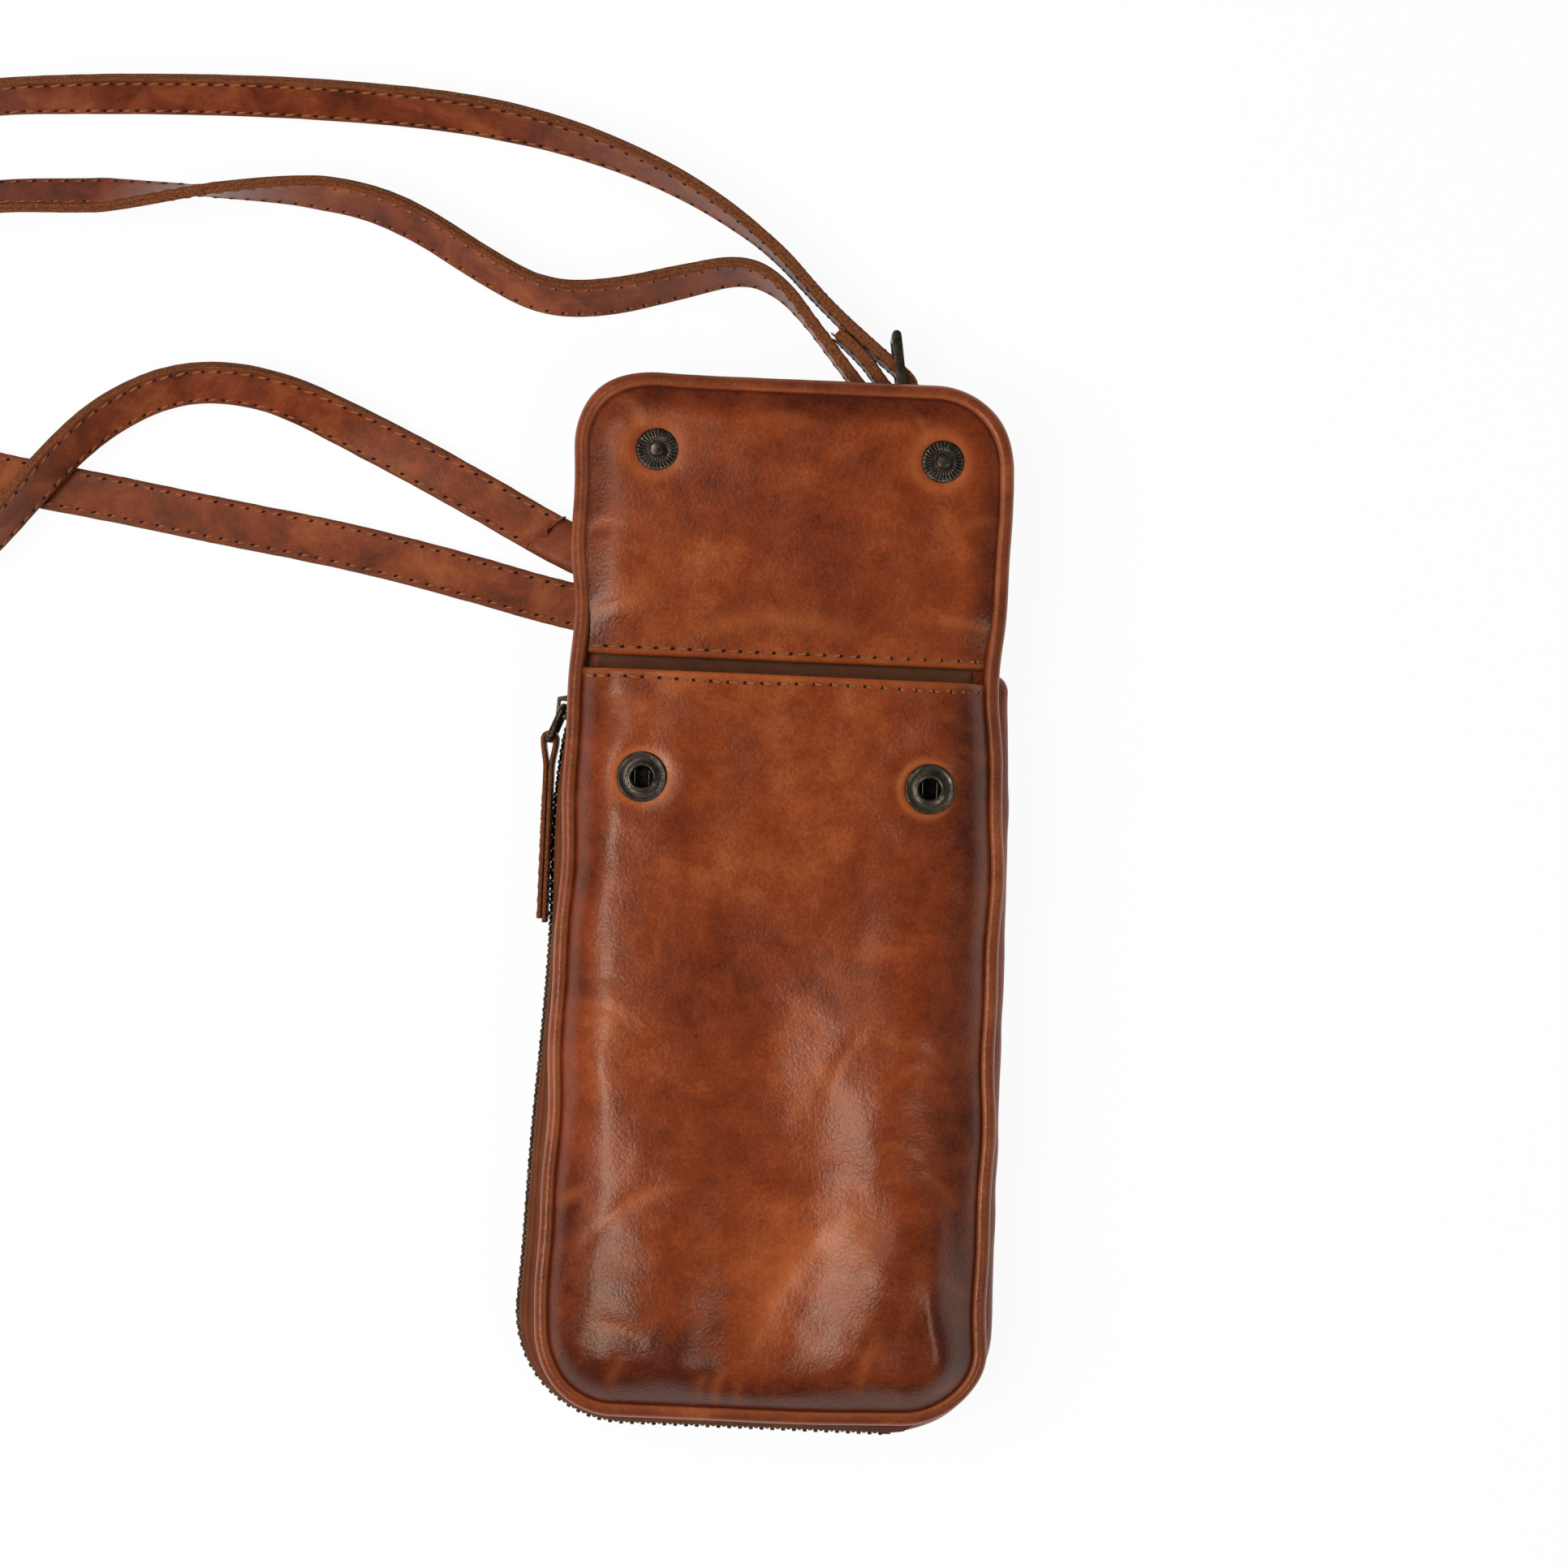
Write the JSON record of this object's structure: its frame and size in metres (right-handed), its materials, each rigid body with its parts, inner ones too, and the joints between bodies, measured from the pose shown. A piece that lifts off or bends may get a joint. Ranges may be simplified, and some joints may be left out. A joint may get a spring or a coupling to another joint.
{
  "type": "phone pouch",
  "caption": "Leather phone pouch with a padded snap flap, a zipped rear compartment and a narrow shoulder strap on a slide adjuster.",
  "frame": {"origin": "middle of the pouch with its flap open, on the face of the back panel that lies on the table", "axes": "+X across the pouch, +Y from the bottom towards the tip of the open flap, +Z out of the front"},
  "size_m": [0.3534, 0.3584, 0.032],
  "materials": {
    "cognac_leather": "waxed, softly glossy, mottled",
    "piping_leather": "waxed, paler on the ridge",
    "strap_leather": "sewn, with raw cut edges",
    "suede_lining": "matt, napped",
    "padding": "soft filling",
    "zip_tape": "woven",
    "antique_metal": "dark antique plating, worn",
    "spring_steel": "bright drawn wire"
  },
  "bodies": {
    "pouch": {"front_panel": "cognac_leather", "mouth_hem": "cognac_leather", "pocket_back": "cognac_leather", "fold_cover": "cognac_leather", "back_panel": "cognac_leather", "gusset": "cognac_leather", "fold_facing": "cognac_leather", "ring_tab_left": "cognac_leather", "ring_tab_right": "cognac_leather", "pocket_piping": "piping_leather", "fold_piping": "piping_leather", "strap_sewn_end": "strap_leather", "strap_upper_run": "strap_leather", "strap_outer_turn": "strap_leather", "strap_spliced_run": "strap_leather", "strap_right_loop": "strap_leather", "strap_straight_run": "strap_leather", "strap_inner_turn": "strap_leather", "strap_lower_run": "strap_leather", "strap_left_end": "strap_leather", "front_lining": "suede_lining", "back_lining": "suede_lining", "rear_lining": "suede_lining", "divider_lining": "suede_lining", "pocket_piping_cord": "padding", "zip_tape_front": "zip_tape", "zip_tape_rear": "zip_tape", "zip_teeth_front": "antique_metal", "zip_teeth_rear": "antique_metal", "zip_stops": "antique_metal", "strap_adjuster": "antique_metal", "snap_socket_left": "antique_metal", "snap_socket_right": "antique_metal", "snap_plate_left": "antique_metal", "snap_plate_right": "antique_metal", "snap_spring_left": "spring_steel", "snap_spring_right": "spring_steel"},
    "flap": {"flap_cover": "cognac_leather", "flap_padding": "padding", "flap_facing": "cognac_leather", "flap_piping": "piping_leather", "flap_piping_cord": "padding", "snap_stud_left": "antique_metal", "snap_stud_right": "antique_metal", "snap_cap_left": "antique_metal", "snap_cap_right": "antique_metal"},
    "zip_slider": {"zip_slider": "antique_metal"},
    "zip_ring": {"zip_pull_ring": "antique_metal"},
    "zip_puller": {"zip_puller": "strap_leather"},
    "ring_left": {"strap_ring_left": "antique_metal"},
    "ring_right": {"strap_ring_right": "antique_metal"}
  },
  "joints": [
    {"name": "flap_fold", "type": "hinge", "parent": "pouch", "child": "flap", "pos_m": [0, 0.075, 0.0282], "axis": [1, 0, 0], "range_deg": [0, 180], "deforming": ["fold_cover", "fold_facing", "fold_piping"]},
    {"name": "zip_slide", "type": "slide", "parent": "pouch", "child": "zip_slider", "axis": [-0.0605, -0.9982, 0], "range_m": [0, 0.15], "deforming": ["zip_teeth_front", "zip_teeth_rear"]},
    {"name": "zip_ring_swing", "type": "hinge", "parent": "zip_slider", "child": "zip_ring", "pos_m": [-0.06039, 0.04924, 0.0094], "axis": [0, 0, 1], "range_deg": [-75, 0]},
    {"name": "zip_puller_swing", "type": "hinge", "parent": "zip_ring", "child": "zip_puller", "pos_m": [-0.0639, 0.04052, 0.0094], "axis": [0, 0, 1], "range_deg": [-75, 0]},
    {"name": "ring_left_tilt", "type": "hinge", "parent": "pouch", "child": "ring_left", "pos_m": [-0.042, 0.0695, 0.0115], "axis": [1, 0, 0], "range_deg": [-12, 12], "deforming": ["strap_left_end", "strap_right_loop", "strap_spliced_run"]},
    {"name": "ring_right_tilt", "type": "hinge", "parent": "pouch", "child": "ring_right", "pos_m": [0.042, 0.0695, 0.0115], "axis": [1, 0, 0], "range_deg": [-12, 12], "deforming": ["strap_right_loop"]}
  ]
}
